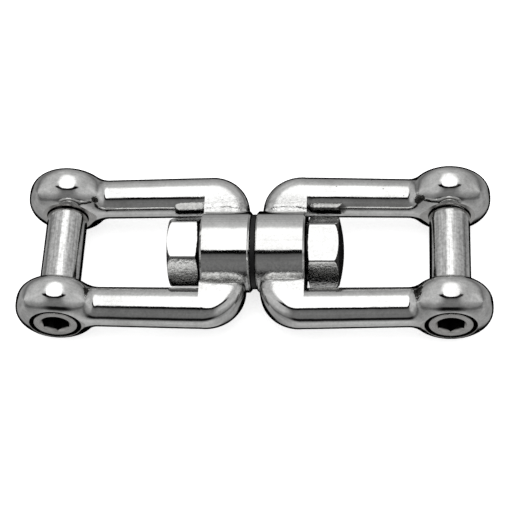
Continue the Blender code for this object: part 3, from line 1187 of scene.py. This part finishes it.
def makeRoom():
    world = bpy.data.worlds.new("studio")
    bpy.context.scene.world = world
    world.use_nodes = True
    tree = world.node_tree
    tree.nodes.clear()
    way = addNode(tree, "TexCoord").outputs["Generated"]
    parts = addNode(tree, "SeparateXYZ", None, {0: way}).outputs
    toFront = addNode(tree, "Math", {**times, 1: -1}, {0: parts["Y"]})
    angle = addNode(tree, "Math", {"operation": "ARCTAN2"}, {0: toFront, 1: parts["Z"]})
    share = addNode(tree, "MapRange", ramped(-math.pi, math.pi, eased=False), {"Value": angle})
    sideways = addNode(tree, "Math", sizeOnly, {0: parts["X"]})
    ramps = []
    for stops in (room["middle"], room["sides"]):
        ramps.append(addNode(tree, "ValToRGB", None, {0: share}))
        marks = ramps[-1].color_ramp.elements
        while len(marks) < len(stops):
            marks.new(0.5)
        for mark, (degrees, value) in zip(marks, stops):
            mark.position = (degrees + 180) / 360
            mark.color = (value, value, value, 1)
    middle, sides = ramps
    folded = {"noise_dimensions": "1D", "Scale": 9, "Detail": 4, "Roughness": 0.6}
    creases = addNode(tree, "TexNoise", folded, {"W": angle})
    uneven = {"operation": "MULTIPLY_ADD", 1: 2 * room["streaks"], 2: 1 - room["streaks"]}
    creases = addNode(tree, "Math", uneven, {0: creases})
    middle = addNode(tree, "Math", times, {0: middle, 1: creases})
    toSides = addNode(tree, "MapRange", ramped(*room["middleReach"]), {"Value": sideways})
    walls = addNode(tree, "Mix", None, {0: toSides, 2: middle, 3: sides})

    # The softbox overhead is an oval. Its front edge is crisp and its back edge, which hangs lower, is soft.
    back, front = [math.radians(a) for a in room["softboxAngle"]]
    half = (front - back) / 2
    placed = {"operation": "MULTIPLY_ADD", 1: 1 / half, 2: -(back + front) / 2 / half}
    along = addNode(tree, "Math", placed, {0: angle})
    across = addNode(tree, "Math", {"operation": "DIVIDE", 1: room["softboxReach"]}, {0: sideways})
    size = addNode(tree, "Math", sizeOnly, {0: along})
    size = addNode(tree, "Math", {"operation": "POWER", 1: 3}, {0: size})
    wide = addNode(tree, "Math", {"operation": "POWER", 1: 2}, {0: across})
    spread = addNode(tree, "Math", {"operation": "ADD"}, {0: size, 1: wide})
    crisp = addNode(tree, "MapRange", ramped(*room["frontEdge"]), {"Value": spread})
    soft = addNode(tree, "MapRange", ramped(*room["backEdge"]), {"Value": spread})
    behind = addNode(tree, "MapRange", ramped(*room["backFrom"]), {"Value": along})
    inBox = addNode(tree, "Mix", None, {0: behind, 2: crisp, 3: soft})

    # What darkens the walls: the softbox's black rim, of which the front shows, the front of the table's edge
    # and whatever stands about
    nearBox = addNode(tree, "MapRange", ramped(*room["rimEdge"]), {"Value": spread})
    inFront = addNode(tree, "MapRange", ramped(*room["rimFrom"]), {"Value": along})
    rim = addNode(tree, "Math", times, {0: nearBox, 1: inFront})
    off = addNode(tree, "Math", {"operation": "SUBTRACT", 1: room["horizon"]}, {0: parts["Z"]})
    off = addNode(tree, "Math", sizeOnly, {0: off})
    level = addNode(tree, "MapRange", ramped(*room["horizonEdge"]), {"Value": off})
    inView = ramped(*room["horizonAhead"], 0, room["horizonDark"])
    ahead = addNode(tree, "MapRange", inView, {"Value": parts["Y"]})
    edge = addNode(tree, "Math", times, {0: level, 1: ahead})
    clutter = addNode(tree, "TexNoise", {"Scale": 2.2, "Detail": 3}, {"Vector": way})
    varied, least = room["clutter"]
    clutter = addNode(tree, "Math", {"operation": "MULTIPLY_ADD", 1: varied, 2: least}, {0: clutter})
    walls = addNode(tree, "Math", times, {0: walls, 1: clutter})
    for shade in (rim, edge):
        clear = addNode(tree, "Math", {"operation": "SUBTRACT", 0: 1}, {1: shade})
        walls = addNode(tree, "Math", times, {0: walls, 1: clear})

    bright, creased = room["softbox"], room["softboxCreases"]
    folds = {"operation": "MULTIPLY_ADD", 1: creased * bright, 2: (1 - creased) * bright}
    folds = addNode(tree, "Math", folds, {0: creases})
    studio = addNode(tree, "Mix", None, {0: inBox, 2: walls, 3: folds})
    toDark = addNode(tree, "VectorMath", {"operation": "DOT_PRODUCT", 1: room["dark"]}, {0: way})
    inner, outer = [math.cos(math.radians(a)) for a in room["darkAngle"]]
    lit = addNode(tree, "MapRange", ramped(inner, outer), {"Value": toDark.outputs["Value"]})
    studio = addNode(tree, "Math", times, {0: studio, 1: lit})

    mirrored = addNode(tree, "Background", None, {0: studio})
    plain = addNode(tree, "Background", {0: linear(room["backdrop"])})
    seen = addNode(tree, "LightPath").outputs["Is Camera Ray"]
    mixed = addNode(tree, "MixShader", None, {0: seen, 1: mirrored, 2: plain})
    addNode(tree, "OutputWorld", None, {"Surface": mixed})

    shape = bmesh.new()
    bmesh.ops.create_grid(shape, x_segments=8, y_segments=8, size=3)
    mesh = meshOf("floor", shape)
    floor = newObject("floor", mesh)
    floor.location.z = cadBounds[0][2]
    floor.visible_glossy = False
    paper = bpy.data.materials.new("whitePaper")
    paper.use_nodes = True
    nodes = paper.node_tree
    shader = nodes.nodes["Principled BSDF"]
    shader.inputs["Roughness"].default_value = 0.9
    shader.inputs["Specular IOR Level"].default_value = 0.1
    fibre = addNode(nodes, "TexNoise", {"Scale": perMetre(1.5)})
    shade = addNode(nodes, "Mix", blended("#F7F7F7", "#FDFDFD"), {0: fibre})
    nodes.links.new(shade.outputs[2], shader.inputs["Base Color"])
    nodes.links.new(shade.outputs[2], shader.inputs["Emission Color"])
    shader.inputs["Emission Strength"].default_value = room["floorGlow"]
    mesh.materials.append(paper)

    lamp = bpy.data.lights.new("softOverhead", "AREA")
    lamp.shape = "DISK"
    lamp.size = 1.2
    lamp.energy = room["lampPower"]
    light = bpy.data.objects.new("softOverhead", lamp)
    bpy.context.scene.collection.objects.link(light)
    light.location = (0, -0.1, 0.9)
    light.visible_glossy = False
    light.visible_camera = False


makeCamera()
makeRoom()
print("stage: camera and room")

polished = polishedStainless()
boreFinish = turnedStainless("turnedBoltBore", "X")
# The recess darkening is painted shade deep inside the eye bores
eyeFinish = turnedStainless("turnedEyeBores", "Y", pinReach, recess=(8.4, 15.9, 16.25))

jaw = makeJaw([polished, boreFinish, eyeFinish])
place("jawForgingLeft", jaw, leftHand, "left_jaw", "jaw_left")
place("jawForgingRight", jaw, rightHand, "right_jaw", "jaw_right")
print("stage: jaws", len(jaw.polygons), "faces")

bolt, nut, pin, washer = boltMesh(), nutMesh(), pinMesh(), washerMesh()
endFinish = turnedStainless("turnedHexagonEnds", "X", look=darkCutLook)
for mesh in (bolt, nut):
    setMaterials(mesh, [polished], [0])
    mesh.materials.append(endFinish)
    for polygon in mesh.polygons:
        if polygon.normal.x > 0.2 and polygon.center.x > 15 * mm:
            polygon.material_index = 1  # the chamfers and the ends beyond them are as the lathe left them
setMaterials(washer, [blackAcetal()], [0])
shankFinish = drawnStainless("drawnStainlessShank")
# The recess darkening is painted shade round the head's edge, down in the sunk bore
headFinish = turnedStainless("turnedPinHead", "Y", pinReach, recess=(8.4, 15.85, 16.15))
setMaterials(pin, [shankFinish, headFinish, socketSteel()], [0, 1, 2])
place("swivelBolt", bolt, leftHand, "bolt", "swivel_bolt")
place("capNut", nut, rightHand, "bolt", "cap_nut")
place("thrustWasher", washer, rightHand, "washer", "thrust_washer")
place("clevisPinLeft", pin, leftHand, "left_pin", "clevis_pin_left")
place("clevisPinRight", pin, rightHand, "right_pin", "clevis_pin_right")
print("stage: bolt, nut, washer and pins")

bpy.context.scene.view_settings.view_transform = "Standard"
